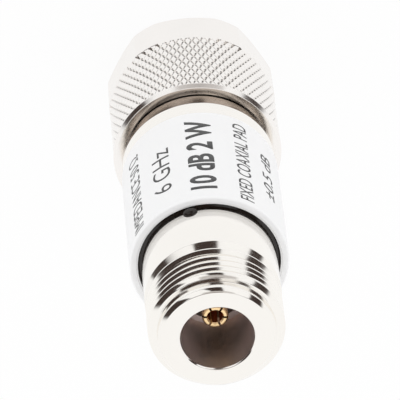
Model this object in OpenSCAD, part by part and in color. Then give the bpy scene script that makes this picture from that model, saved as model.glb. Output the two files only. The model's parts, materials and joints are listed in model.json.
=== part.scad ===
// Fixed coaxial attenuator with a type N plug and jack, in millimetres.
// It stands on the mating rim of its coupling nut, with the jack at the top.

/* [Body sleeve] */
// Wall of the body outside the bore that holds the two connector shells
body_wall = 1.3; // [1:0.05:1.6]
// Length of the body from its tail to its rim
body_len = 20.55; // [18:0.05:24]
// Rounding on the outer edge of the rim
rim_round = 0.2; // [0.1:0.05:0.5]
// Chamfer on the outer edge of the tail
tail_chamfer = 0.15; // [0.1:0.05:0.4]
// Radial width of the open joint round the jack
mouth_gap = 0.6; // [0.3:0.05:0.8]
// Depth of that joint below the rim
mouth_joint = 0.6; // [0.4:0.1:1.5]

/* [Label] */
// Thickness of the printed film
label_t = 0.08; // [0.05:0.01:0.15]
// Width of the film along the axis
label_w = 17.65; // [12:0.05:17.8]
// Distance from the rim to the edge of the film
label_inset = 0.45; // [0.3:0.05:1.5]
// Open angle of the seam where the two ends of the film meet
label_seam = 3; // [1:0.5:8]

/* [Jack] */
// Distance from the rim of the body to the face of the jack
jack_reach = 15.2; // [14:0.05:18]
// Outside diameter of the coupling thread
thread_d = 15.875; // [15.5:0.025:16.4]
// Length of the thread
thread_len = 5.35; // [4.5:0.05:6]
// Depth of the chamfer at the front end of the thread
lead_cut = 0.5; // [0.3:0.05:0.6]
// Length of that chamfer
lead_len = 0.4; // [0.3:0.05:0.6]
// Length of the plain pilot ahead of the thread
pilot_len = 1.45; // [1.2:0.05:2.2]
// Depth of the pilot below the thread crests
pilot_step = 1.05; // [0.9:0.05:1.2]
// Chamfer between the pilot and the face
nose_chamfer = 0.45; // [0.3:0.05:0.8]
// Width of the groove behind the thread
relief_w = 0.65; // [0.4:0.05:1]
// Depth of the groove below the thread crests
relief_depth = 0.6; // [0.4:0.05:0.9]
// Length of the cone that rises from the groove to the neck
shoulder_len = 0.75; // [0.5:0.05:1.2]
// Height of the neck above the thread crests
neck_step = 0.06; // [0.02:0.01:0.2]
// Diameter of the mouth that takes a mating sleeve
mouth_d = 8.5; // [8.3:0.05:8.8]
// Depth of the mouth
mouth_depth = 9.1; // [8.6:0.05:9.6]
// Chamfer round the mouth
mouth_chamfer = 0.15; // [0.1:0.05:0.5]
// Depth of the jack inside the body
jack_spigot = 4.9; // [4:0.05:6]

/* [Coaxial line] */
// Inner diameter of the outer conductor
line_d = 7; // [6.7:0.05:7.3]
// Diameter of the inner conductor
contact_d = 3.04; // [2.9:0.02:3.2]
// Diameter of the inner conductor inside the beads
stem_d = 2.2; // [1.9:0.05:2.5]
// Thickness of each insulating bead
bead_len = 3; // [2:0.1:3.6]
// Height of a bead's seat above the bore of the line
bead_step = 0.9; // [0.5:0.05:1.2]
// Distance from the jack's face to the tip of the socket
socket_recess = 4.25; // [4.1:0.05:4.6]
// Diameter of the hole in the socket
socket_d = 1.7; // [1.66:0.02:1.8]
// Depth of that hole
socket_depth = 6; // [5:0.1:7]
// Number of cuts across the socket, each making two slots
socket_cuts = 3; // [2:1:3]
// Width of the slots
slot_w = 0.25; // [0.15:0.05:0.35]
// Length of the slots
slot_len = 4.6; // [3.5:0.1:5]
// Chamfer on the tip of the socket
tip_chamfer = 0.2; // [0.1:0.05:0.3]
// Diameter of the pin
pin_d = 1.65; // [1.6:0.01:1.68]
// Distance from the sleeve's rim back to the shoulder of the pin
pin_shoulder = 5.3; // [5.2:0.05:5.8]
// Distance that the tip of the pin stands out of the sleeve
pin_lead = 0.7; // [0.2:0.1:1]
// Length of the pin's pointed tip
pin_point = 0.8; // [0.4:0.1:1.2]

/* [Attenuator card] */
// Width of the ceramic card
chip_w = 5; // [4.4:0.1:6]
// Thickness of the card
chip_t = 0.64; // [0.4:0.02:0.8]
// Length of the card
chip_len = 8.4; // [7:0.1:9]
// Length of card that each fork grips
fork_grip = 2; // [1.2:0.1:2.6]
// Diameter of the channel between the ground blocks
channel_d = 3.8; // [3.4:0.05:4.2]

/* [Plug] */
// Distance from the nut's rim to the rim of the plug's sleeve
sleeve_inset = 1.6; // [1.2:0.05:2.2]
// Radial clearance of the sleeve in a mating mouth
sleeve_gap = 0.15; // [0.1:0.01:0.2]
// Length of the sleeve ahead of the gasket's seat
sleeve_len = 10.2; // [9.8:0.05:10.8]
// Depth of the plug inside the body
plug_spigot = 5.05; // [4:0.05:6]
// Length of the plain neck between the nut and the body
neck_len = 2.35; // [1.5:0.05:3]
// Inner diameter of the gasket, wide enough for a mating sleeve to pass
gasket_d = 10; // [9.8:0.1:10.6]
// Thickness of the gasket
gasket_t = 1.6; // [1.2:0.05:2]
// Radial width of the gasket
gasket_w = 2.4; // [1.6:0.1:2.8]
// Wire diameter of the retaining ring
wire_d = 1; // [0.8:0.05:1.2]
// Open angle of the retaining ring
ring_split = 24; // [10:1:40]

/* [Coupling nut] */
// Length of the nut
nut_len = 16.6; // [16:0.05:19]
// Length of the hexagon at the mating end
hex_len = 5.4; // [4.5:0.05:6.5]
// Depth of the hexagon's flats below the outside of the nut
hex_cut = 0.675; // [0.5:0.025:0.8]
// Turn of the hexagon about the axis
hex_turn = 6; // [0:1:59]
// Chamfer on the mating end of the hexagon
hex_chamfer = 0.75; // [0.4:0.05:1]
// Length of the plain end behind the knurl
land_len = 0.55; // [0.4:0.05:1.2]
// Depth of that end below the knurl's peaks
land_cut = 0.4; // [0.2:0.05:0.5]
// Length of the chamfer that leads down to it
land_chamfer = 0.3; // [0.1:0.05:0.35]
// Length of the knurl that runs into the plain ends
knurl_sink = 0.05; // [0.02:0.01:0.1]
// Number of diamonds round the knurl
knurl_count = 64; // [48:1:80]
// Depth of the knurl's tops below the plain ends
knurl_inset = 0.03; // [0.02:0.01:0.06]
// Depth of the knurl's grooves
knurl_depth = 0.26; // [0.1:0.02:0.3]
// Width of the knurl's grooves
groove_w = 0.34; // [0.15:0.01:0.4]
// Angle between the knurl's grooves and the axis
knurl_helix = 30; // [25:1:40]
// Depth of the nut's inside thread from the mating rim
nut_thread_len = 9.2; // [8:0.1:10]
// Radial clearance of the inside thread on a mating thread
thread_gap = 0.1; // [0.06:0.02:0.2]
// Rise from the inside thread to the bore behind it
bore_step = 0.25; // [0.15:0.05:0.4]
// Rise from that bore to the wide recess at the back
recess_step = 0.65; // [0.6:0.05:0.9]
// Depth of the wide recess
recess_depth = 1.8; // [1.4:0.1:2.2]
// Wall round the wide recess
nut_wall = 1.25; // [1.05:0.05:1.5]

/* [Fits] */
// Clearance between fixed pieces
fit_gap = 0.02; // [0.01:0.01:0.04]
// Radial clearance of the turning nut on the plug
run_gap = 0.1; // [0.06:0.01:0.15]
// Clearance round the retaining ring
ring_gap = 0.15; // [0.1:0.01:0.2]
// Open joint between the plug's collar and the nut
collar_gap = 0.29; // [0.25:0.01:0.4]
// Depth of the collar's face below the back of the nut
collar_inset = 0.05; // [0:0.05:0.3]

/* [Hidden] */
$fn = 96;

nickel = "#e4e1dc";
gold = "#e0a860";
film_white = "#f7f7f8";
sealant_black = "#2a2624";
bead_white = "#f1efe9";
card_white = "#f3efe2";
block_brass = "#c9a55a";
gasket_red = "#a8513c";

// Overlap that carries a cut past the face it starts from
over = 1;

// Heights along the axis, from the mating rim of the nut
tail_z = nut_len + neck_len;
rim_z = tail_z + body_len;
face_z = rim_z + jack_reach;
block_lo = tail_z + plug_spigot;
block_hi = rim_z - jack_spigot;
chip_lo = (block_lo + block_hi - chip_len) / 2;
chip_hi = chip_lo + chip_len;
tip_z = face_z - socket_recess;
seat_z = sleeve_inset + sleeve_len;
collar_hi = nut_len - collar_inset;
recess_z = nut_len - recess_depth;
collar_lo = recess_z + collar_gap;
ring_z = (seat_z + collar_lo) / 2;

// Radii of the shells, from the coupling thread outwards
thread_r = thread_d / 2;
neck_r = thread_r + neck_step;
body_bore_r = neck_r + fit_gap;
body_r = body_bore_r + body_wall;
mouth_r = mouth_d / 2;
line_r = line_d / 2;
sleeve_r = mouth_r - sleeve_gap;
bead_r = line_r + bead_step;
stem_r = stem_d / 2;
contact_r = contact_d / 2;

// Radii of the nut and of what turns inside it
nut_thread_r = thread_r + thread_gap;
nut_bore_r = nut_thread_r + bore_step;
recess_r = nut_bore_r + recess_step;
nut_r = recess_r + nut_wall;
flat_r = nut_r - hex_cut;
barrel_r = nut_bore_r - run_gap;
collar_r = recess_r - collar_gap;
ring_r = nut_bore_r;

// The knurl's rows lie half a diamond apart, and the count is even so that both ends match
knurl_lo = hex_len - knurl_sink;
knurl_hi = nut_len - land_len + knurl_sink;
knurl_pitch = PI * 2 * nut_r / knurl_count;
knurl_rows = 2 * round((knurl_hi - knurl_lo) * tan(knurl_helix) / knurl_pitch);
knurl_step = (knurl_hi - knurl_lo) / knurl_rows;
knurl_top_r = nut_r - knurl_inset;
knurl_root_r = knurl_top_r - knurl_depth;
// Share of each half diamond that stays flat between the grooves
knurl_flat = 1 - groove_w / (knurl_pitch * cos(knurl_helix));
// The turned blank lies just inside the flats, and the knurl's ring reaches down into it
blank_r = flat_r - 0.02;
knurl_foot_r = blank_r - 0.2;

// A turned piece from its profile of radius and height
module turned(profile) {
    rotate_extrude() polygon(profile);
}

// A hole along the axis between two heights
module drill(r, lo, hi) {
    translate([0, 0, lo]) cylinder(r = r, h = hi - lo);
}

// A cone along the axis between two heights
module countersink(r_lo, r_hi, lo, hi) {
    translate([0, 0, lo]) cylinder(r1 = r_lo, r2 = r_hi, h = hi - lo);
}

// Points on a quarter round from the side of a turned rim to its top
function rim_arc(r, z, round_r) =
    [for (a = [0 : 15 : 90]) [r - round_r + round_r * cos(a), z - round_r + round_r * sin(a)]];

module body_sleeve() {
    profile = concat([[0, tail_z], [body_r - tail_chamfer, tail_z], [body_r, tail_z + tail_chamfer]],
                     rim_arc(body_r, rim_z, rim_round),
                     [[0, rim_z]]);
    color(nickel) difference() {
        turned(profile);
        drill(body_bore_r, tail_z - over, rim_z + over);
        drill(neck_r + mouth_gap, rim_z - mouth_joint, rim_z + over);
    }
}

// The film's seam faces +Y, away from its printed side
module label_wrap() {
    color(film_white)
        rotate([0, 0, 90 + label_seam / 2])
            translate([0, 0, rim_z - label_inset - label_w])
                rotate_extrude(angle = 360 - label_seam)
                    translate([body_r, 0]) square([label_t, label_w]);
}

// A round dab over the open joint: a bead of sealant round the neck, kept only where the dab lies
module sealant_drop() {
    dab_r = 0.85;
    dab_turn = 287;
    dab_h = 0.55;
    joint_r = neck_r + mouth_gap;
    bead_top = rim_z + 1.1;
    section = [[neck_r, rim_z - mouth_joint], [joint_r, rim_z - mouth_joint], [joint_r, rim_z],
               [neck_r + dab_h, rim_z], [neck_r + dab_h, bead_top - dab_h],
               [neck_r + dab_h / 2, bead_top - dab_h / 6], [neck_r, bead_top]];
    color(sealant_black) intersection() {
        turned(section);
        rotate([0, 0, dab_turn])
            translate([0, 0, rim_z + dab_r / 4])
                rotate([0, 90, 0]) cylinder(r = dab_r, h = body_r);
    }
}

module jack_shell() {
    pilot_z = face_z - pilot_len;
    thread_lo = pilot_z - thread_len;
    cone_z = thread_lo - relief_w;
    pilot_r = thread_r - pilot_step;
    relief_r = thread_r - relief_depth;
    lead_r = thread_r - lead_cut;
    profile = [[0, block_hi], [neck_r, block_hi], [neck_r, cone_z - shoulder_len], [relief_r, cone_z],
               [relief_r, thread_lo], [thread_r, thread_lo], [thread_r, pilot_z - lead_len],
               [lead_r, pilot_z], [pilot_r, pilot_z],
               [pilot_r, face_z - nose_chamfer], [pilot_r - nose_chamfer, face_z], [0, face_z]];
    color(nickel) difference() {
        turned(profile);
        drill(line_r, block_hi - over, face_z);
        drill(bead_r, block_hi - over, block_hi + bead_len);
        drill(mouth_r, face_z - mouth_depth, face_z + over);
        countersink(mouth_r, mouth_r + mouth_chamfer, face_z - mouth_chamfer, face_z);
    }
}

// The slot across the back of a contact, which makes the fork that grips the card
module fork_slot(lo, hi) {
    slot_t = chip_t + 2 * fit_gap;
    translate([-contact_d, -slot_t / 2, lo]) cube([2 * contact_d, slot_t, hi - lo]);
}

module jack_contact() {
    fork_end = chip_hi - fork_grip;
    step_z = block_hi + bead_len;
    lip = (contact_r - socket_d / 2) / 4;
    profile = [[0, fork_end], [stem_r, fork_end], [stem_r, step_z], [contact_r, step_z],
               [contact_r, tip_z - tip_chamfer], [contact_r - tip_chamfer, tip_z], [0, tip_z]];
    color(gold) difference() {
        turned(profile);
        drill(socket_d / 2, tip_z - socket_depth, tip_z + over);
        countersink(socket_d / 2, socket_d / 2 + lip, tip_z - lip, tip_z);
        for (cut = [0 : socket_cuts - 1])
            rotate([0, 0, cut * 180 / socket_cuts])
                translate([-contact_d, -slot_w / 2, tip_z - slot_len])
                    cube([2 * contact_d, slot_w, slot_len + over]);
        fork_slot(fork_end - over, chip_hi + fit_gap);
    }
}

module bead(lo) {
    color(bead_white) difference() {
        drill(bead_r - fit_gap, lo, lo + bead_len);
        drill(stem_r + fit_gap, lo - over, lo + bead_len + over);
    }
}

module jack_bead() {
    bead(block_hi);
}

module plug_bead() {
    bead(block_lo - bead_len);
}

module attenuator_chip() {
    color(card_white) translate([-chip_w / 2, -chip_t / 2, chip_lo]) cube([chip_w, chip_t, chip_len]);
}

// One ground block: half of a round bar, with half of the channel and half of the card's pocket
module carrier_half() {
    pocket_w = chip_w + 2 * fit_gap;
    pocket_t = chip_t + 2 * fit_gap;
    pocket_len = chip_len + 2 * fit_gap;
    difference() {
        drill(neck_r, block_lo, block_hi);
        translate([-body_r, -2 * body_r, block_lo - over])
            cube([2 * body_r, 2 * body_r, block_hi - block_lo + 2 * over]);
        drill(channel_d / 2, block_lo - over, block_hi + over);
        translate([-pocket_w / 2, -pocket_t / 2, chip_lo - fit_gap]) cube([pocket_w, pocket_t, pocket_len]);
    }
}

module carrier_upper() {
    color(block_brass) carrier_half();
}

module carrier_lower() {
    color(block_brass) mirror([0, 1, 0]) carrier_half();
}

// A ring cut to a depth below the barrel or above the bore, centred on the retaining ring
module ring_groove(r_in, r_out) {
    width = wire_d + 2 * ring_gap;
    translate([0, 0, ring_z - width / 2]) difference() {
        cylinder(r = r_out, h = width);
        translate([0, 0, -over]) cylinder(r = r_in, h = width + 2 * over);
    }
}

module plug_shell() {
    rim = 0.2;
    profile = [[0, sleeve_inset], [sleeve_r - rim, sleeve_inset], [sleeve_r, sleeve_inset + rim],
               [sleeve_r, seat_z], [barrel_r, seat_z], [barrel_r, collar_lo], [collar_r, collar_lo],
               [collar_r, collar_hi], [neck_r, collar_hi], [neck_r, block_lo], [0, block_lo]];
    color(nickel) difference() {
        turned(profile);
        drill(line_r, sleeve_inset - over, block_lo);
        drill(bead_r, block_lo - bead_len, block_lo + over);
        ring_groove(ring_r - wire_d / 2 - ring_gap, barrel_r + over);
    }
}

module plug_pin() {
    fork_end = chip_lo + fork_grip;
    step_z = block_lo - bead_len;
    pin_r = pin_d / 2;
    point_r = pin_r / 3;
    pin_z = sleeve_inset - pin_lead;
    shoulder_z = sleeve_inset + pin_shoulder;
    profile = [[0, pin_z], [point_r, pin_z], [pin_r, pin_z + pin_point], [pin_r, shoulder_z],
               [contact_r, shoulder_z], [contact_r, step_z], [stem_r, step_z], [stem_r, fork_end],
               [0, fork_end]];
    color(gold) difference() {
        turned(profile);
        fork_slot(chip_lo - fit_gap, fork_end + over);
    }
}

module plug_gasket() {
    inner_r = gasket_d / 2;
    color(gasket_red)
        translate([0, 0, seat_z - gasket_t])
            rotate_extrude() translate([inner_r, 0]) square([gasket_w, gasket_t]);
}

// The wire ring lies half in the plug's groove and half in the nut's
module retaining_ring() {
    color(nickel)
        translate([0, 0, ring_z])
            rotate_extrude(angle = 360 - ring_split) translate([ring_r, 0]) circle(d = wire_d, $fn = 32);
}

// A point of the knurl at a radius, counted in half diamonds round the nut and along it
function knurl_point(r, around, along) =
    let (a = around * 180 / knurl_count)
    [r * cos(a), r * sin(a), knurl_lo + along * knurl_step];

// The grooves cross wherever the two counts add up to an even number, and a flat-topped diamond lies
// between each four crossings. The end rows are diamonds cut in half by the ends of the knurl.
module knurl_ring() {
    lands = [for (row = [0 : knurl_rows], i = [0 : knurl_count - 1]) [2 * i + (row + 1) % 2, row]];
    crossings = [for (row = [0 : knurl_rows], i = [0 : knurl_count - 1])
        knurl_point(knurl_root_r, 2 * i + row % 2, row)];
    corners = [for (land = lands, side = [[-1, 0], [0, -1], [1, 0], [0, 1]])
        let (along = land[1] + side[1] * knurl_flat)
        knurl_point(knurl_top_r, land[0] + side[0] * knurl_flat, min(max(along, 0), knurl_rows))];
    feet = [for (row = [0, knurl_rows], i = [0 : knurl_count - 1])
        knurl_point(knurl_foot_r, 2 * i + row % 2, row)];
    first_corner = len(crossings);
    first_foot = first_corner + len(corners);

    function crossing(around, row) =
        row * knurl_count + floor(((around + 2 * knurl_count) % (2 * knurl_count)) / 2);
    function foot(around, end) =
        first_foot + end * knurl_count + floor(((around + 2 * knurl_count) % (2 * knurl_count)) / 2);

    faces = [for (n = [0 : len(lands) - 1])
        let (around = lands[n][0], row = lands[n][1],
             west = first_corner + 4 * n, south = west + 1, east = west + 2, north = west + 3,
             w = crossing(around - 1, row), e = crossing(around + 1, row),
             low = row == 0, high = row == knurl_rows,
             s = low ? 0 : crossing(around, row - 1), t = high ? 0 : crossing(around, row + 1))
        each concat(
            low ? [[west, north, east]]
                : high ? [[west, east, south]]
                : [[west, north, south], [south, north, east]],
            low ? [] : [[w, west, south], [w, south, s], [s, south, east], [s, east, e]],
            high ? [] : [[w, t, north], [w, north, west], [t, e, east], [t, east, north]],
            low ? [[w, west, east, e, foot(around + 1, 0), foot(around - 1, 0)]] : [],
            high ? [[e, east, west, w, foot(around - 1, 1), foot(around + 1, 1)]] : [])];
    inside = [for (i = [0 : knurl_count - 1])
        let (around = 2 * i)
        [foot(around, 0), foot(around + 2, 0), foot(around + 2, 1), foot(around, 1)]];
    polyhedron(concat(crossings, corners, feet), concat(faces, inside));
}

// The hexagon keeps round corners, because its flats are cut into a round bar
module hexagon_end() {
    blank = [[0, 0], [nut_r - hex_chamfer, 0], [nut_r, hex_chamfer], [nut_r, hex_len], [0, hex_len]];
    intersection() {
        turned(blank);
        rotate([0, 0, hex_turn]) cylinder(r = flat_r / cos(30), h = hex_len, $fn = 6);
    }
}

module coupling_nut() {
    land_r = nut_r - land_cut;
    land_z = nut_len - land_len;
    chamfer_z = land_z + 2 * knurl_sink;
    entry = thread_gap + bore_step + 0.4;
    color(nickel) difference() {
        union() {
            hexagon_end();
            drill(blank_r, hex_len / 2, nut_len - land_len / 2);
            knurl_ring();
            turned([[0, land_z], [nut_r, land_z], [nut_r, chamfer_z], [land_r, chamfer_z + land_chamfer],
                    [land_r, nut_len], [0, nut_len]]);
        }
        drill(nut_thread_r, -over, nut_thread_len + over);
        countersink(nut_thread_r + entry, nut_thread_r, 0, entry);
        drill(nut_bore_r, nut_thread_len, nut_len + over);
        drill(recess_r, recess_z, nut_len + over);
        ring_groove(nut_bore_r - over, ring_r + wire_d / 2 + ring_gap);
    }
}

body_sleeve();
label_wrap();
sealant_drop();
jack_shell();
jack_contact();
jack_bead();
attenuator_chip();
carrier_upper();
carrier_lower();
plug_shell();
plug_pin();
plug_bead();
plug_gasket();
retaining_ring();
coupling_nut();
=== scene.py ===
# %% [markdown]
# # A coaxial attenuator, turned from brass and plated
# The object is a short metal cylinder that weakens a radio signal by a fixed amount. One end is a threaded
# socket, the other a plug with a loose coupling nut, and a white film label is wrapped round the middle.
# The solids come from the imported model, so every piece made here starts from their sizes: the model is
# loaded first, and its heights and radii are read in millimetres, as on a maker's drawing.

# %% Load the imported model
import json
import math

import bpy
from mathutils import Matrix, Vector


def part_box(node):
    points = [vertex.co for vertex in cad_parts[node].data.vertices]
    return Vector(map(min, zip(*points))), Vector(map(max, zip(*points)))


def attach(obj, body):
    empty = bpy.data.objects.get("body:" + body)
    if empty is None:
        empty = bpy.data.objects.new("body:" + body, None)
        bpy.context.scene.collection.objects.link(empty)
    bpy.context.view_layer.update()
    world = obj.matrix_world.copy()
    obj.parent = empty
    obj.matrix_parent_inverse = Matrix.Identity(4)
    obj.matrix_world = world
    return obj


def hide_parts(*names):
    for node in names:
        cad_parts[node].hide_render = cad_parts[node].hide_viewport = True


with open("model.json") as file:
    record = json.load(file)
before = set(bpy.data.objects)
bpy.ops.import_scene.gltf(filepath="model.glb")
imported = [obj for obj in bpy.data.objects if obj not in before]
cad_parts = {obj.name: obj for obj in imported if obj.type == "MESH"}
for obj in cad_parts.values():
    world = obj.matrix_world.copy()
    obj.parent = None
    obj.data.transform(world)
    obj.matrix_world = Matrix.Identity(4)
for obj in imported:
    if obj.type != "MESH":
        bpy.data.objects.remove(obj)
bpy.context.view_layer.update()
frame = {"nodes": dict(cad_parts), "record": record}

MM = 0.001
mounts = {mount["name"]: mount["dims"] for mount in frame["record"]["mounts"]}


def foot_of(node):
    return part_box(node)[0].z / MM


def top_of(node):
    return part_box(node)[1].z / MM


def radius_of(node):
    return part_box(node)[1].x / MM


for node in sorted(frame["nodes"]):
    print(f"{node}: {foot_of(node):.2f} to {top_of(node):.2f} mm high, {radius_of(node):.2f} mm in radius")

# %% [markdown]
# ## A lathe in edit mode
# Almost every piece of a connector is turned from bar. The same is done here: half of the section is drawn
# point by point by extruding one vertex, and Spin carries it round the axis. A ready-made cylinder could be
# scaled and inset instead, but a drawn section keeps each step, groove and chamfer in one list that can be
# read like a drawing.

# %% Lathe tools
LATHE_STEPS = 192
MERGE = 0.0002 * MM
EDGE_ANGLE = math.radians(32)


def clear_selection():
    if bpy.context.object and bpy.context.object.mode != "OBJECT":
        bpy.ops.object.mode_set(mode="OBJECT")
    bpy.ops.object.select_all(action="DESELECT")


def pick(piece):
    clear_selection()
    piece.select_set(True)
    bpy.context.view_layer.objects.active = piece


def draw_outline(name, outline):
    """A closed wire through points of radius and height in millimetres, left in edit mode"""
    clear_selection()
    bpy.ops.mesh.primitive_plane_add(size=MM)
    piece = bpy.context.object
    piece.name = name
    piece.data.name = name
    bpy.ops.object.mode_set(mode="EDIT")
    bpy.ops.mesh.merge(type="CENTER")
    points = [Vector((radius, 0, height)) * MM for radius, height in outline]
    bpy.ops.transform.translate(value=points[0])
    for here, there in zip(points, points[1:] + points[:1]):
        bpy.ops.mesh.extrude_region_move(TRANSFORM_OT_translate={"value": there - here})
    bpy.ops.mesh.select_all(action="SELECT")
    bpy.ops.mesh.remove_doubles(threshold=MERGE)
    return piece


def close_mesh():
    """Merges the doubled points of the mesh in edit mode and turns its faces outwards"""
    bpy.ops.mesh.select_all(action="SELECT")
    bpy.ops.mesh.remove_doubles(threshold=MERGE)
    bpy.ops.mesh.normals_make_consistent(inside=False)
    bpy.ops.object.mode_set(mode="OBJECT")


def turn_on_lathe(name, outline, steps=LATHE_STEPS):
    piece = draw_outline(name, outline)
    bpy.ops.mesh.spin(steps=steps, angle=2 * math.pi, center=(0, 0, 0), axis=(0, 0, 1))
    close_mesh()
    return piece


def arc(centre_r, centre_z, radius, start, end, steps=6):
    """Points on a round stretch of an outline, from one angle to another in degrees"""
    turns = [math.radians(start + (end - start) * i / steps) for i in range(steps + 1)]
    return [(centre_r + radius * math.cos(t), centre_z + radius * math.sin(t)) for t in turns]


def apply_modifier(piece, kind, **settings):
    pick(piece)
    modifier = piece.modifiers.new(kind.lower(), kind)
    for setting, value in settings.items():
        setattr(modifier, setting, value)
    bpy.ops.object.modifier_apply(modifier=modifier.name)


def bevel_edges(piece, width, clamp=True):
    """Takes the sharpness off every edge, as plating and deburring do"""
    apply_modifier(piece, "BEVEL", width=width * MM, segments=2, limit_method="ANGLE",
                   angle_limit=EDGE_ANGLE, use_clamp_overlap=clamp)


def smooth_rounds(piece):
    """Shades round faces smoothly, and lets broad faces keep their own direction next to narrow ones"""
    pick(piece)
    bpy.ops.object.shade_smooth_by_angle(angle=EDGE_ANGLE)
    apply_modifier(piece, "WEIGHTED_NORMAL", mode="FACE_AREA", weight=100, keep_sharp=True)


def cut_away(piece, cutter):
    apply_modifier(piece, "BOOLEAN", operation="DIFFERENCE", object=cutter, solver="EXACT")
    bpy.data.objects.remove(cutter)


def fit_piece(piece, body, slot, material, *nodes):
    """Gives a finished piece its material, its body and the solids that it stands for"""
    piece.data.materials.clear()
    piece.data.materials.append(material)
    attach(piece, body)
    if nodes:
        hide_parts(*nodes)
    print(f"{piece.name}: {len(piece.data.vertices)} points, {len(piece.data.polygons)} faces, on {body}")


# %% [markdown]
# ## Materials
# Each finish starts from what the real one is. Colours are written as they look on screen, in sRGB, and one
# function turns them to the linear values that shaders use. Another adds a node with its settings and links.

# %% Material tools
def hex_colour(code):
    """Linear red, green, blue and alpha from an sRGB hex code"""
    parts = [int(code[i:i + 2], 16) / 255 for i in (0, 2, 4)]
    return [p / 12.92 if p <= 0.04045 else ((p + 0.055) / 1.055) ** 2.4 for p in parts] + [1.0]


def add_node(tree, kind, links=None, **settings):
    node = tree.nodes.new(kind)
    for setting, value in settings.items():
        setattr(node, setting, value)
    for socket, source in (links or {}).items():
        if isinstance(source, bpy.types.NodeSocket):
            tree.links.new(source, node.inputs[socket])
        else:
            node.inputs[socket].default_value = source
    return node


def start_material(name, colour, metallic, roughness):
    material = bpy.data.materials.new(name)
    material.use_nodes = True
    tree = material.node_tree
    shader = tree.nodes["Principled BSDF"]
    shader.inputs["Base Color"].default_value = hex_colour(colour)
    shader.inputs["Metallic"].default_value = metallic
    shader.inputs["Roughness"].default_value = roughness
    print(f"{name}: #{colour}, roughness {roughness}")
    return material, tree, shader


# %% [markdown]
# ## Turned and plated metal
# A lathe tool leaves fine rings, and plating covers them without hiding them. The rings run round the axis
# on sides and faces alike, so the pattern is a noise along one number, the radius plus the height. A second,
# broad noise makes the plating a little duller here and there, as handling does. An image could be wrapped
# on instead, but a noise has no seam and needs no unwrapping. Rings of a real 0.05 mm feed would be lost
# between pixels, so they are drawn a few times coarser. The plug's shell has a duller, satin plate of its
# own, and its darker, browner colour is painted shade for its collar beside the nut.

# %% Turned metal
STAIN_MM = 3.0
STAIN_STARTS = 0.35
STAIN_FULL = 0.7


def axis_parts(tree):
    """Sockets for a place on the part: the place itself, its X, Y and Z, and its distance from the axis"""
    place = add_node(tree, "ShaderNodeTexCoord").outputs["Object"]
    parts = add_node(tree, "ShaderNodeSeparateXYZ", {"Vector": place}).outputs
    across = add_node(tree, "ShaderNodeCombineXYZ", {"X": parts["X"], "Y": parts["Y"]})
    reach = add_node(tree, "ShaderNodeVectorMath", {0: across.outputs["Vector"]}, operation="LENGTH")
    return place, parts, reach.outputs["Value"]


def turned_metal(name, colour, dull, bright, ring_mm, ring_depth_mm):
    material, tree, shader = start_material(name, colour, 1.0, bright)
    place, parts, reach = axis_parts(tree)
    along = add_node(tree, "ShaderNodeMath", {0: reach, 1: parts["Z"]}, operation="ADD")
    rings = add_node(tree, "ShaderNodeTexNoise",
                     {"W": along.outputs[0], "Scale": 1 / (ring_mm * MM), "Detail": 2.0},
                     noise_dimensions="1D")
    bump = add_node(tree, "ShaderNodeBump",
                    {"Height": rings.outputs[0], "Strength": 1.0, "Distance": ring_depth_mm * MM})
    tree.links.new(bump.outputs["Normal"], shader.inputs["Normal"])
    stain = add_node(tree, "ShaderNodeTexNoise",
                     {"Vector": place, "Scale": 1 / (STAIN_MM * MM), "Detail": 4.0})
    shine = add_node(tree, "ShaderNodeMapRange",
                     {"Value": stain.outputs[0], "From Min": STAIN_STARTS, "From Max": STAIN_FULL,
                      "To Min": bright, "To Max": dull})
    tree.links.new(shine.outputs["Result"], shader.inputs["Roughness"])
    return material


nickel = turned_metal("bright_nickel_plate", "F8F5F0", dull=0.14, bright=0.08,
                      ring_mm=0.3, ring_depth_mm=0.0006)
# Darker, browner copy of the nickel for the plug's shell: the colour is painted shade for its collar, the
# duller roughness is its satin plate
plug_nickel_painted_shade = turned_metal("satin_nickel_painted_shade", "D6CDC5", dull=0.24, bright=0.16,
                           ring_mm=0.3, ring_depth_mm=0.0006)
# This nickel also carries the grey painted shade of the knurl grooves, added further down
nut_nickel = turned_metal("nut_nickel_and_groove_shade", "F7F4F1", dull=0.2, bright=0.12,
                          ring_mm=0.3, ring_depth_mm=0.0006)
# Browner, darker and duller copy of the nickel for the mouth's walls: the colour is painted shade for the
# deep bore
mouth_shade_nickel = turned_metal("mouth_nickel_painted_shade", "E9DEDB", dull=0.46, bright=0.38,
                          ring_mm=0.4, ring_depth_mm=0.002)
gold = turned_metal("gold_plate", "FFDFAC", dull=0.2, bright=0.12,
                    ring_mm=0.15, ring_depth_mm=0.0005)
# Darker, redder metal for the contact's hole: painted shade, reddened like light bouncing between gold walls
hole_shade_metal = turned_metal("reddened_hole_painted_shade", "C4744A", dull=0.55, bright=0.45,
                      ring_mm=0.15, ring_depth_mm=0.001)
brass = turned_metal("turned_brass", "C9A45C", dull=0.35, bright=0.25,
                     ring_mm=0.3, ring_depth_mm=0.001)
spring_steel = turned_metal("spring_wire", "B9B8B4", dull=0.35, bright=0.25,
                            ring_mm=0.2, ring_depth_mm=0.0005)

# %% [markdown]
# The nut's knurl is rolled in, and its grooves are given a grey colour that is painted shade: it stands for
# the light that the narrow grooves keep out. Lines could be painted on, but the grooves are real here, so the
# colour follows the distance from the axis, on the outside and between the two ends of the knurl. Where two
# grooves cross they open wider and more light gets in, so the painted shade is taken off there: two cosines,
# one for each direction of groove, are both at their peak only at a crossing.

# %% Painted shade in the knurl grooves
nut_r = radius_of("coupling_nut")
knurl_foot = 5.35
knurl_top = 16.1
knurl_count = 64
knurl_rows = 12
groove_edge_r = nut_r - 0.14
groove_root_r = nut_r - 0.28
bore_side_r = groove_root_r - 0.3
groove_shade_foot = knurl_foot + 0.4
groove_shade_top = knurl_top + 0.05
CROSSING_STARTS = 0.45
CROSSING_FULL = 0.8


# Paints shade into the knurl's grooves as a grey colour, and leaves it off where two grooves cross
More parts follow.
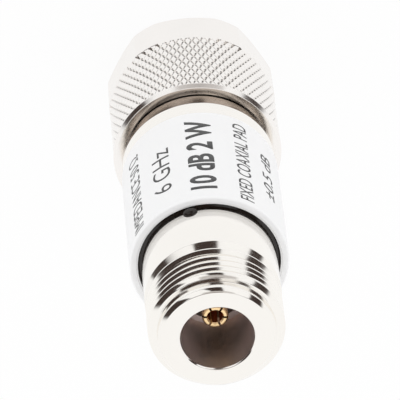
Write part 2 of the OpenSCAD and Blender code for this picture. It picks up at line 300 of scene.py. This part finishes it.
def paint_knurl_groove_shade(material, colour, crossing_colour):
    tree = material.node_tree
    shader = tree.nodes["Principled BSDF"]
    _, parts, reach = axis_parts(tree)

    def work_out(operation, first, second=0.0):
        return add_node(tree, "ShaderNodeMath", {0: first, 1: second}, operation=operation).outputs[0]

    depth = add_node(tree, "ShaderNodeMapRange",
                     {"Value": reach, "From Min": groove_edge_r * MM, "From Max": groove_root_r * MM})
    outside = work_out("GREATER_THAN", reach, bore_side_r * MM)
    above = work_out("GREATER_THAN", parts["Z"], groove_shade_foot * MM)
    below = work_out("LESS_THAN", parts["Z"], groove_shade_top * MM)
    inside_ends = work_out("MULTIPLY", above, below)
    share = work_out("MULTIPLY", work_out("MULTIPLY", depth.outputs["Result"], outside), inside_ends)

    angle = work_out("ARCTAN2", parts["Y"], parts["X"])
    around = work_out("MULTIPLY", angle, knurl_count / 2)
    lift = work_out("SUBTRACT", parts["Z"], knurl_foot * MM)
    along = work_out("MULTIPLY", lift, math.pi / 2 * knurl_rows / ((knurl_top - knurl_foot) * MM))
    right_hand = work_out("COSINE", work_out("ADD", around, along))
    left_hand = work_out("COSINE", work_out("SUBTRACT", around, along))
    both_hands = work_out("ABSOLUTE", work_out("MULTIPLY", right_hand, left_hand))
    crossing = add_node(tree, "ShaderNodeMapRange",
                        {"Value": both_hands, "From Min": CROSSING_STARTS, "From Max": CROSSING_FULL},
                        interpolation_type="SMOOTHSTEP")

    groove_shade_colour = add_node(tree, "ShaderNodeMix",
                             {"Factor": crossing.outputs["Result"], "A": hex_colour(colour),
                              "B": hex_colour(crossing_colour)}, data_type="RGBA")
    tint = add_node(tree, "ShaderNodeMix",
                    {"Factor": share, "A": list(shader.inputs["Base Color"].default_value),
                     "B": groove_shade_colour.outputs["Result"]}, data_type="RGBA")
    tree.links.new(tint.outputs["Result"], shader.inputs["Base Color"])


# Grey painted shade in the knurl grooves, nearly the plain nickel again at the crossings
paint_knurl_groove_shade(nut_nickel, "585553", "F8F6F4")
print(f"knurl grooves: {knurl_count} each way, grey below {groove_edge_r:.2f} mm from the axis")

# %% [markdown]
# ## Film, ink, plastics and rubber
# The label is white satin film with a fine grain, printed in dark grey ink. The beads inside are a white
# fluoropolymer, the gasket is silicone rubber and the card is alumina. A plain colour would look like
# nothing in particular, so each gets a grain at its real size that stirs its colour and its surface a little.

# %% Grained materials
def grained(name, colour, other_colour, roughness, grain_mm, grain_depth_mm, ior=1.46):
    material, tree, shader = start_material(name, colour, 0.0, roughness)
    shader.inputs["IOR"].default_value = ior
    place = add_node(tree, "ShaderNodeTexCoord")
    grain = add_node(tree, "ShaderNodeTexNoise",
                     {"Vector": place.outputs["Object"], "Scale": 1 / (grain_mm * MM), "Detail": 3.0})
    tint = add_node(tree, "ShaderNodeMix",
                    {"Factor": grain.outputs[0], "A": hex_colour(colour), "B": hex_colour(other_colour)},
                    data_type="RGBA")
    tree.links.new(tint.outputs["Result"], shader.inputs["Base Color"])
    bump = add_node(tree, "ShaderNodeBump",
                    {"Height": grain.outputs[0], "Strength": 1.0, "Distance": grain_depth_mm * MM})
    tree.links.new(bump.outputs["Normal"], shader.inputs["Normal"])
    return material


film = grained("satin_label_film", "F8F8F8", "F5F5F6", 0.42, grain_mm=0.4, grain_depth_mm=0.002)
ink = grained("dark_grey_ink", "484848", "565656", 0.5, grain_mm=0.3, grain_depth_mm=0.001)
# This dark material is the real dab, and also the ring in the joint below, which is painted shade
sealant = grained("dark_sealant_and_joint_shade", "1A1512", "241C18", 0.12, grain_mm=0.8, grain_depth_mm=0.01)
fluoropolymer = grained("white_fluoropolymer", "ECEBE6", "E4E2DA", 0.4, grain_mm=0.5,
                        grain_depth_mm=0.003, ior=1.35)
alumina = grained("white_alumina", "EFE9DA", "E2DAC8", 0.5, grain_mm=0.2,
                  grain_depth_mm=0.004, ior=1.76)
silicone = grained("red_silicone_rubber", "8E3A2C", "7E3024", 0.6, grain_mm=0.3,
                   grain_depth_mm=0.004, ior=1.41)

# %% [markdown]
# ## The jack's shell
# The threaded end is one turned piece: a neck in the body, a short cone, a relief groove where the thread
# tool runs out, the thread, a plain nose and a mouth bored from the front. The blank is turned first, with
# its thread as a plain cylinder that is as wide as the crests. Stacked cylinders would leave faces inside,
# and the turned section has none.

# %% Jack shell
neck_r = radius_of("jack_shell")
thread_r = mounts["jack_thread"]["r_mm"]
face_z = top_of("jack_shell")
shell_foot = foot_of("jack_shell")
bead_top = top_of("jack_bead")
body_top = top_of("body_sleeve")

nose_len = 1.45
nose_step = 1.05
nose_chamfer = 0.45
thread_len = 5.35
lead_cut = 0.5
lead_len = 0.4
relief_w = 0.65
relief_depth = 0.6
cone_len = 0.75
mouth_r = 4.25
mouth_depth = 9.1
mouth_chamfer = 0.15
line_r = 3.5
bead_r = 4.4

nose_foot = face_z - nose_len
nose_r = thread_r - nose_step
thread_foot = nose_foot - thread_len
relief_r = thread_r - relief_depth
cone_top = thread_foot - relief_w
lead_r = thread_r - lead_cut
lead_turn = math.degrees(math.atan2(lead_cut, lead_len))
lead_round = 0.12
lead_back = lead_round * math.tan(math.radians(90 - lead_turn) / 2)
corner_round = 0.1
mouth_floor = face_z - mouth_depth
edge_break = 0.04

jack_shell = turn_on_lathe("jack_shell_turned", [
    (bead_r, shell_foot),
    (neck_r, shell_foot),
    (neck_r, cone_top - cone_len),
    (relief_r, cone_top),
    (relief_r, thread_foot),
    (thread_r, thread_foot),
    (thread_r, nose_foot - lead_len),
    *arc(lead_r - lead_back, nose_foot - lead_round, lead_round, lead_turn, 90, steps=4),
    *arc(nose_r + corner_round, nose_foot + corner_round, corner_round, 270, 180, steps=5),
    (nose_r, face_z - nose_chamfer),
    (nose_r - nose_chamfer, face_z),
    (mouth_r + mouth_chamfer, face_z),
    (mouth_r, face_z - mouth_chamfer),
    (mouth_r, mouth_floor),
    (line_r, mouth_floor),
    (line_r, bead_top),
    (bead_r, bead_top),
])
bevel_edges(jack_shell, edge_break, clamp=False)
print(f"jack shell: {2 * thread_r:.3f} mm across the thread, {face_z - shell_foot:.2f} mm long")

# %% [markdown]
# ## The jack's thread
# A stack of rims would only look like a thread, so a helical groove is cut: its section is drawn once, the
# Screw modifier winds it at the thread's pitch, and a Boolean takes it out of the turned blank, as the tool
# does. The tool goes once round before it moves off, so the thread starts from a groove that is a plain ring.

# %% Thread groove
INCH = 25.4
THREAD_PITCH = INCH / 24
FLANK = math.radians(30)


def wind(name, section, pitch, turns):
    """A closed screw of a section, right-handed, wound upwards from where the section was drawn"""
    piece = draw_outline(name, section)
    bpy.ops.object.mode_set(mode="OBJECT")
    apply_modifier(piece, "SCREW", angle=2 * math.pi, screw_offset=pitch * MM, iterations=turns,
                   steps=LATHE_STEPS, render_steps=LATHE_STEPS, use_merge_vertices=True,
                   merge_threshold=MERGE)
    bpy.ops.object.mode_set(mode="EDIT")
    bpy.ops.mesh.select_all(action="SELECT")
    bpy.ops.mesh.fill_holes(sides=len(section))
    close_mesh()
    return piece


crest_flat = THREAD_PITCH / 5
root_flat = THREAD_PITCH / 4
groove_depth = (THREAD_PITCH - crest_flat - root_flat) / 2 / math.tan(FLANK)
overshoot = 0.08
groove_top = (THREAD_PITCH - crest_flat) / 2 + overshoot * math.tan(FLANK)
thread_turns = 4
first_groove_lift = 0.62
first_groove_z = thread_foot + first_groove_lift
thread_start_turn = math.pi / 2


def groove_section(middle):
    return [
        (thread_r - groove_depth, middle - root_flat / 2),
        (thread_r + overshoot, middle - groove_top),
        (thread_r + overshoot, middle + groove_top),
        (thread_r - groove_depth, middle + root_flat / 2),
    ]


cut_away(jack_shell, turn_on_lathe("thread_start", groove_section(first_groove_z)))
groove = wind("thread_groove", groove_section(first_groove_z), THREAD_PITCH, thread_turns)
groove.rotation_euler.z = thread_start_turn
pick(groove)
bpy.ops.object.transform_apply()
cut_away(jack_shell, groove)
smooth_rounds(jack_shell)
print(f"thread: pitch {THREAD_PITCH:.4f} mm, {groove_depth:.2f} mm deep, {thread_turns} turns")
fit_piece(jack_shell, "attenuator", "nickel", nickel, "jack_shell")

# %% [markdown]
# The faces inside the mouth are browner and darker than the outside, and this colour is painted shade for
# the deep bore; they are also duller. The mouth could be a piece of its own, but the real shell is one piece,
# so the faces inside take a second material instead: they are found by their distance from the axis.

# %% Painted shade in the mouth
BORE_SLACK = 0.02
bright_lip = 0.3


def paint_shade_inside(piece, material, bore_r, low, high):
    """Gives a second material, which paints their shade, to the faces of a bore between two heights"""
    piece.data.materials.append(material)
    faces = [face for face in piece.data.polygons
             if face.center.xy.length < (bore_r + BORE_SLACK) * MM and low * MM < face.center.z < high * MM]
    for face in faces:
        face.material_index = 1
    print(f"{piece.name}: {len(faces)} faces inside take {material.name}")


# The mouth's walls below the lip take the painted shade
paint_shade_inside(jack_shell, mouth_shade_nickel, mouth_r, shell_foot, face_z - bright_lip)

# %% [markdown]
# ## The socket contact
# Inside the mouth stands the gold-plated contact, a tube whose end is slit into six springy fingers. Six
# separate fingers could be set in a ring, but a real one is turned with its hole and then sawn, so three
# thin saw cuts cross it here. The finger ends are rounded so that they catch the light. Inside the hole the
# metal is darker and redder: this is painted shade, reddened like light that bounces between gold walls.

# %% Socket contact
contact_r = radius_of("jack_contact")
contact_top = top_of("jack_contact")
contact_foot = foot_of("jack_contact")
stem_r = 1.1
socket_r = mounts["jack_socket"]["r_mm"]
socket_depth = 6.0
socket_lip = (contact_r - socket_r) / 4
drill_tip = socket_r / 2
tip_chamfer = 0.2
saw_w = 0.25
saw_len = 4.6
saw_cuts = 3
blade_len = 6.0
blade_over = 1.0
card_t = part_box("attenuator_chip")[1].y * 2 / MM
card_top = top_of("attenuator_chip")
card_play = 0.02
finger_break = 0.03

contact = turn_on_lathe("jack_contact_slit", [
    (0.0, contact_foot),
    (stem_r, contact_foot),
    (stem_r, bead_top),
    (contact_r, bead_top),
    (contact_r, contact_top - tip_chamfer),
    (contact_r - tip_chamfer, contact_top),
    (socket_r + socket_lip, contact_top),
    (socket_r, contact_top - socket_lip),
    (socket_r, contact_top - socket_depth),
    (0.0, contact_top - socket_depth - drill_tip),
], steps=96)


def saw_cut(piece, turn, width, low, high):
    clear_selection()
    middle = Vector((0, 0, (low + high) / 2)) * MM
    bpy.ops.mesh.primitive_cube_add(size=1, location=middle, rotation=(0, 0, turn))
    blade = bpy.context.object
    blade.scale = Vector((blade_len, width, high - low)) * MM
    bpy.ops.object.transform_apply()
    cut_away(piece, blade)


for cut in range(saw_cuts):
    saw_cut(contact, math.pi * cut / saw_cuts, saw_w, contact_top - saw_len, contact_top + blade_over)
saw_cut(contact, 0, card_t + 2 * card_play, contact_foot - blade_over, card_top + card_play)
bevel_edges(contact, finger_break)
smooth_rounds(contact)
fit_piece(contact, "attenuator", "contact_gold", gold, "jack_contact")
socket_foot = contact_top - socket_depth - 2 * drill_tip
# The walls of the contact's hole take the darker, redder painted shade
paint_shade_inside(contact, hole_shade_metal, socket_r, socket_foot, contact_top - 2 * socket_lip)

# %% [markdown]
# ## The body sleeve
# A plain tube holds both connectors and the parts between them. Its rim towards the jack is rounded, and a
# thin open joint shows where the jack's neck goes in. The other end has a small chamfer. A cylinder could be
# inset and bevelled to the same shape, but turning it keeps the rim, the joint and the bore in one section.

# %% Body sleeve
body_r = radius_of("body_sleeve")
body_foot = foot_of("body_sleeve")
body_play = 0.02
body_bore_r = neck_r + body_play
rim_round = 0.2
tail_chamfer = 0.15
joint_w = 0.6
joint_depth = 0.6
joint_r = neck_r + joint_w
joint_foot = body_top - joint_depth

body_sleeve = turn_on_lathe("body_sleeve_turned", [
    (body_bore_r, body_foot),
    (body_r - tail_chamfer, body_foot),
    (body_r, body_foot + tail_chamfer),
    *arc(body_r - rim_round, body_top - rim_round, rim_round, 0, 90),
    (joint_r, body_top),
    (joint_r, joint_foot),
    (body_bore_r, joint_foot),
])
bevel_edges(body_sleeve, edge_break, clamp=False)
smooth_rounds(body_sleeve)
fit_piece(body_sleeve, "attenuator", "nickel", nickel, "body_sleeve")

# %% [markdown]
# ## The label and its print
# The label is a strip of film wrapped once round the body, with its seam at the back. A flat strip could be
# bent round, but a section turned through a little less than a full circle, with its two ends closed, comes
# out exactly round.

# %% Label
label_r = radius_of("label_wrap")
label_foot = foot_of("label_wrap")
label_top = top_of("label_wrap")
label_seam = math.radians(3.0)
label_steps = 288
film_t = label_r - body_r
film_break = 0.02


def wrap_film(name, outline):
    """A strip turned round the axis as far as the seam, which faces away from the print"""
    piece = draw_outline(name, outline)
    bpy.ops.mesh.spin(steps=label_steps, angle=2 * math.pi - label_seam, center=(0, 0, 0),
                      axis=(0, 0, 1))
    bpy.ops.mesh.select_all(action="SELECT")
    bpy.ops.mesh.fill_holes(sides=len(outline))
    close_mesh()
    piece.rotation_euler.z = math.pi / 2 + label_seam / 2
    pick(piece)
    bpy.ops.object.transform_apply()
    return piece


label = wrap_film("label_film", [
    (body_r, label_foot),
    (label_r, label_foot),
    (label_r, label_top),
    (body_r, label_top),
])
bevel_edges(label, film_break)
smooth_rounds(label)
fit_piece(label, "attenuator", "label_film", film, "label_wrap")

# %% [markdown]
# Towards the jack the film is shrunk over the rounded rim, so that only its edge shows beside the joint. It
# could be one piece with the label, but then the label would no longer have the size of its solid, so this
# lap is a second, thinner turned strip with the same seam. It ends in a free tongue over the joint, drawn
# as steps out from the joint's wall and up from the rim. Its inside stops a little before the end of the
# rim's round, so that it sinks a hair into the tube and no two faces lie in each other.

# %% Lap of the label
tongue = [
    (0.03, film_t),
    (-0.06, 0.02),
    (-0.18, 0.01),
    (-0.2, -0.03),
    (-0.18, -0.07),
    (-0.05, -0.06),
    (0, 0),
]
last_turn = 15
round_r = body_r - rim_round
round_z = body_top - rim_round
lap = wrap_film("label_lap", [
    (body_r, label_top),
    (label_r, label_top),
    *arc(round_r, round_z, rim_round + film_t, 0, 90),
    *[(joint_r + out, body_top + up) for out, up in tongue],
    *arc(round_r, round_z, rim_round, 90, last_turn, steps=5),
])
smooth_rounds(lap)
fit_piece(lap, "attenuator", "label_film", film)

# %% [markdown]
# The print is generic: ratings that any such part could carry. It could be an image on the film, but letters
# that are a mesh stay sharp from any distance. Each line is a text made into a mesh, cut into narrow strips
# so that it can bend, laid on the film by Shrinkwrap and given the thickness of a film of ink.

# %% Print
INK_T = 0.012
INK_GAP = 0.001
STRIP_W = 0.3
PRINT_LIFT = 0.2


def print_line(name, words, turn, start_z, length, height, weight):
    """A line of print that starts at a height and runs down the label, at an angle in degrees round it"""
    clear_selection()
    bpy.ops.object.text_add()
    text = bpy.context.object
    text.name = name
    text.data.body = words
    text.data.offset = weight
    text.data.resolution_u = 4
    bpy.ops.object.convert(target="MESH")
    text.data.name = name
    corners = [Vector(corner) for corner in text.bound_box]
    low = Vector((min(c.x for c in corners), min(c.y for c in corners), 0))
    high = Vector((max(c.x for c in corners), max(c.y for c in corners), 0))
    stretch = Vector((length / (high.x - low.x), height / (high.y - low.y), 1)) * MM
    size = Matrix.Diagonal((stretch.x, stretch.y, stretch.z, 1))
    middle = Matrix.Translation(Vector((-low.x, -(low.y + high.y) / 2, 0)))
    outward = Vector((math.cos(math.radians(turn)), math.sin(math.radians(turn)), 0))
    down = Vector((0, 0, -1))
    side = outward.cross(down)
    spot = outward * (label_r + PRINT_LIFT) * MM + Vector((0, 0, start_z * MM))
    axes = Matrix((down, side, outward)).transposed().to_4x4()
    text.data.transform(Matrix.Translation(spot) @ axes @ size @ middle)
    bpy.ops.object.mode_set(mode="EDIT")
    bpy.ops.mesh.select_all(action="SELECT")
    bpy.ops.mesh.remove_doubles(threshold=MERGE)
    strips = math.ceil(height / STRIP_W)
    for strip in range(1, strips):
        bpy.ops.mesh.select_all(action="SELECT")
        bpy.ops.mesh.bisect(plane_co=spot + side * (strip / strips - 0.5) * height * MM, plane_no=side)
    bpy.ops.object.mode_set(mode="OBJECT")
    apply_modifier(text, "SHRINKWRAP", target=label, wrap_method="NEAREST_SURFACEPOINT",
                   wrap_mode="OUTSIDE_SURFACE", offset=INK_GAP * MM)
    apply_modifier(text, "SOLIDIFY", thickness=INK_T * MM, offset=1.0)
    fit_piece(text, "attenuator", "label_film", ink)


print_line("print_rating", "10 dB 2 W", turn=275.4, start_z=37.7, length=14.6, height=3.3, weight=0.03)
print_line("print_band", "6 GHz", turn=306, start_z=36.0, length=8.8, height=2.5, weight=-0.004)
print_line("print_kind", "FIXED COAXIAL PAD", turn=243.5, start_z=38.8, length=16.2, height=1.9, weight=0.004)
print_line("print_tolerance", "±0.5 dB", turn=220, start_z=34.85, length=9.0, height=1.9, weight=0.004)
print_line("print_impedance", "IMPEDANCE 50 Ω", turn=333, start_z=38.9, length=15.0, height=2.2, weight=0.0)

# %% [markdown]
# ## The dab of sealant
# A small dark dab sits on the open joint beside the label, left by assembly. It could be sculpted, but at
# this size a ball pressed into an uneven cushion is enough. Its inner half is sunk in the neck.

# %% Sealant dab
dab_turn = math.radians(289)
dab_size = Vector((0.46, 0.9, 0.62))
dab_lift = 0.55

clear_selection()
bpy.ops.mesh.primitive_uv_sphere_add(segments=48, ring_count=24, radius=MM)
dab = bpy.context.object
dab.name = "sealant_dab"
dab.data.name = "sealant_dab"
bpy.ops.object.mode_set(mode="EDIT")
bpy.ops.transform.resize(value=dab_size)
bpy.ops.object.mode_set(mode="OBJECT")
dab.rotation_euler.z = dab_turn
dab.location = Vector((math.cos(dab_turn), math.sin(dab_turn), 0)) * neck_r * MM
dab.location.z = (body_top + dab_lift) * MM
bpy.ops.object.transform_apply()
bpy.ops.object.shade_smooth()
fit_piece(dab, "attenuator", "sealant", sealant, "sealant_drop")

# %% [markdown]
# The dark sealant is also laid round the bottom of the joint as a thin turned ring, which is painted shade:
# it stands for the shade in the open joint, so the joint looks black from every side. A dark colour on the
# joint's walls would shine like metal, so the ring is a solid. Its top is hollow, as a liquid leaves it
# between two walls.

# %% Dark ring in the joint, painted shade
wall_gap = 0.15
hollow_gap = 0.25
neck_gap = 0.12
# A dark ring in the joint: painted shade for the open joint
joint_shade_ring = turn_on_lathe("joint_painted_shade_ring", [
    (neck_r, joint_foot),
    (joint_r, joint_foot),
    (joint_r, body_top - wall_gap),
    (neck_r + joint_w / 2, body_top - hollow_gap),
    (neck_r, body_top - neck_gap),
])
smooth_rounds(joint_shade_ring)
fit_piece(joint_shade_ring, "attenuator", "sealant", sealant)

# %% [markdown]
# ## The thread inside the nut
# The coupling nut's thread can be seen from the plug end. It is cut into the nut on the real part, but the
# ridge left between the cuts is all that shows, so the ridge alone is wound here: a V that reaches inwards
# from the wall of the bore, and a little into it so that no gap opens.

# %% Nut thread
nut_bore_r = mounts["nut_thread"]["r_mm"]
ridge_height = 0.55
ridge_root = 0.04
ridge_half = THREAD_PITCH * 0.42
ridge_tip = THREAD_PITCH / 8
ridge_foot = 1.2
ridge_turns = 7
ridge = wind("nut_thread_ridge", [
    (nut_bore_r + ridge_root, ridge_foot - ridge_half),
    (nut_bore_r + ridge_root, ridge_foot + ridge_half),
    (nut_bore_r - ridge_height, ridge_foot + ridge_tip),
    (nut_bore_r - ridge_height, ridge_foot - ridge_tip),
], THREAD_PITCH, ridge_turns)
smooth_rounds(ridge)
fit_piece(ridge, "nut", "nut_nickel", nut_nickel)

# %% [markdown]
# ## Solids that stay as they are
# The nut, the plug's shell and pin, the beads, the card with its two blocks, the ring and the gasket already
# have their shape in the imported model. Modelling them again would add nothing that can be seen, so each one
# only takes the finish of its real material, with painted shade in the nut's knurl grooves and on the plug's
# shell.

# %% Finishes for the solids
finishes = {
    "jack_bead": fluoropolymer,
    "plug_bead": fluoropolymer,
    "plug_gasket": silicone,
    "plug_pin": gold,
    "plug_shell": plug_nickel_painted_shade,
    "coupling_nut": nut_nickel,
    "retaining_ring": spring_steel,
    "attenuator_chip": alumina,
    "carrier_upper": brass,
    "carrier_lower": brass,
}
for node, finish in finishes.items():
    frame["nodes"][node].data.materials[0] = finish
print(f"{len(finishes)} solids finished")

# %% [markdown]
# ## Floor, studio and camera
# The part stands on a white floor in a white studio. More lamps could make the floor white, but they would
# bleach the part too. So the floor is a plain diffuse white that also glows for the camera and for
# reflections: it reads as white paper and still takes a soft shadow.

# %% Floor
FLOOR_SIZE = 4.0
PAPER_GLOW = 0.92
WHITE = (1, 1, 1, 1)

clear_selection()
bpy.ops.mesh.primitive_plane_add(size=FLOOR_SIZE)
floor = bpy.context.object
floor.name = "studio_floor"
paper, paper_tree, paper_shader = start_material("white_paper", "F4F4F4", 0.0, 0.9)
rays = add_node(paper_tree, "ShaderNodeLightPath").outputs
seen_or_mirrored = add_node(paper_tree, "ShaderNodeMath",
                            {0: rays["Is Camera Ray"], 1: rays["Is Glossy Ray"]}, operation="MAXIMUM")
seen = add_node(paper_tree, "ShaderNodeMath",
                {0: seen_or_mirrored.outputs[0], 1: rays["Is Transmission Ray"]}, operation="MAXIMUM")
share = add_node(paper_tree, "ShaderNodeMath", {0: seen.outputs[0], 1: PAPER_GLOW}, operation="MULTIPLY")
glow = add_node(paper_tree, "ShaderNodeEmission", {"Color": WHITE, "Strength": 1.0})
paper_mix = add_node(paper_tree, "ShaderNodeMixShader",
                     {0: share.outputs[0], 1: paper_shader.outputs[0], 2: glow.outputs[0]})
paper_tree.links.new(paper_mix.outputs[0], paper_tree.nodes["Material Output"].inputs["Surface"])
floor.data.materials.append(paper)

# %% [markdown]
# Bright metal shows the room more than itself. The studio is white behind and below the part. The side the
# camera stands on is dark, with one softbox right of the camera, one left of it in three stacked parts, and
# a grey screen just below the camera. The ceiling is dark too. Panels could be built as meshes and lit, but
# a pattern in the world needs no geometry, and only reflections see it: all else is lit by plain white.

# %% Studio tools
ROOM_LIGHT = 1.06
world = bpy.data.worlds.new("studio")
bpy.context.scene.world = world
world.use_nodes = True
sky = world.node_tree


def sky_math(operation, first, second=0.0):
    return add_node(sky, "ShaderNodeMath", {0: first, 1: second}, operation=operation).outputs[0]


def sky_mix(share, under, over):
    mix = add_node(sky, "ShaderNodeMix", {"Factor": share, "A": under, "B": over}, data_type="RGBA")
    return mix.outputs["Result"]


def step(angle, edge, soft, start, end):
    """A smooth step from one value to another, at an angle in degrees"""
    limits = {"From Min": math.radians(edge - soft), "From Max": math.radians(edge + soft)}
    smooth = add_node(sky, "ShaderNodeMapRange", {"Value": angle, "To Min": start, "To Max": end, **limits},
                      interpolation_type="SMOOTHSTEP")
    return smooth.outputs["Result"]


def band(angle, low, high, soft):
    """A step up at one angle and down at another"""
    return sky_math("MULTIPLY", step(angle, low, soft, 0.0, 1.0), step(angle, high, soft, 1.0, 0.0))


direction = add_node(sky, "ShaderNodeTexCoord").outputs["Generated"]
sides = add_node(sky, "ShaderNodeSeparateXYZ", {"Vector": direction}).outputs
left = sky_math("MULTIPLY", sides["X"], -1.0)
front = sky_math("MULTIPLY", sides["Y"], -1.0)
sky_turn = sky_math("ARCTAN2", left, front)
sky_height = sky_math("ARCSINE", sides["Z"])


def panel(turn_low, turn_high, height_low, height_high, soft, lean=0.0):
    """A patch of the room between angles round and up, leaning by so many degrees per degree up"""
    across = sky_math("SUBTRACT", sky_turn, sky_math("MULTIPLY", sky_height, lean))
    wide = band(across, turn_low, turn_high, soft)
    tall = band(sky_height, height_low, height_high, soft)
    return sky_math("MULTIPLY", wide, tall)


print(f"studio: light {ROOM_LIGHT} on everything that isn't a reflection")

# %% [markdown]
# The patches are placed by angles: how far round from the front, to the right of the picture where positive,
# and how far up. The dark side comes first, the softboxes are taken out of it, and the ceiling and the
# screen are laid over the rest. Their edges are soft by a degree or two, as those of a lamp with a cloth are.

# %% Studio
dim_left = panel(-98, 20, -3, 120, 4)
dim_right = panel(0, 70, -3, 120, 4, lean=0.4)
right_box = panel(3, 50, 0, 76, 2, lean=0.22)
left_box = panel(-75, -36, 9, 52, 2, lean=0.65)
high_box = panel(-66, -10, 41, 51, 1.5)
top_box = panel(-42, -8, 50, 58.5, 1.5)
ceiling = band(sky_height, 76, 200, 2)
screen = panel(-26, 34, 41, 52, 1)

dim_side = sky_math("MAXIMUM", dim_left, dim_right)
left_boxes = sky_math("MAXIMUM", sky_math("MAXIMUM", left_box, high_box), top_box)
boxes = sky_math("MAXIMUM", right_box, left_boxes)
dim = sky_math("MAXIMUM", sky_math("SUBTRACT", dim_side, boxes), 0.0)
room = sky_mix(dim, WHITE, hex_colour("3E3430"))
room = sky_mix(ceiling, room, hex_colour("7A6254"))
room = sky_mix(screen, room, hex_colour("C4BFBC"))
sky_rays = add_node(sky, "ShaderNodeLightPath").outputs
light = sky_mix(sky_rays["Is Glossy Ray"], (ROOM_LIGHT, ROOM_LIGHT, ROOM_LIGHT, 1), room)
sky.links.new(light, sky.nodes["Background"].inputs["Color"])
sky.nodes["Background"].inputs["Strength"].default_value = 1.0
print(f"studio: {len(sky.nodes)} nodes, white with a dark side, softboxes and a screen for reflections")

# %% [markdown]
# The photograph was taken from above the socket's end with a long lens, so the far end looks hardly smaller
# than the near one. Distance, angles and focal length were fitted to the photograph. A camera can be turned
# by three angles, but it is easier to say what it looks at, from how far, from which side and how high, and
# how it is rolled.

# %% Camera
aim = Vector((0.3, 0.0, 26.1)) * MM
camera_distance = 576.8 * MM
camera_azimuth = math.radians(7.45)
camera_elevation = math.radians(56.07)
camera_roll = math.radians(173.8)
back = Vector((math.sin(camera_azimuth) * math.cos(camera_elevation),
               -math.cos(camera_azimuth) * math.cos(camera_elevation),
               math.sin(camera_elevation)))
look = (-back).to_track_quat("-Z", "Y")
roll = Matrix.Rotation(camera_roll, 3, "Z").to_quaternion()

lens = bpy.data.cameras.new("camera")
lens.sensor_width = 36.0
lens.lens = 434.75
lens.clip_start = 0.01
camera = bpy.data.objects.new("camera", lens)
bpy.context.scene.collection.objects.link(camera)
camera.location = aim + back * camera_distance
camera.rotation_mode = "QUATERNION"
camera.rotation_quaternion = look @ roll
bpy.context.scene.camera = camera
bpy.context.scene.view_settings.view_transform = "Standard"
print(f"camera: {camera_distance / MM:.0f} mm from the part, with a {lens.lens:.0f} mm lens")
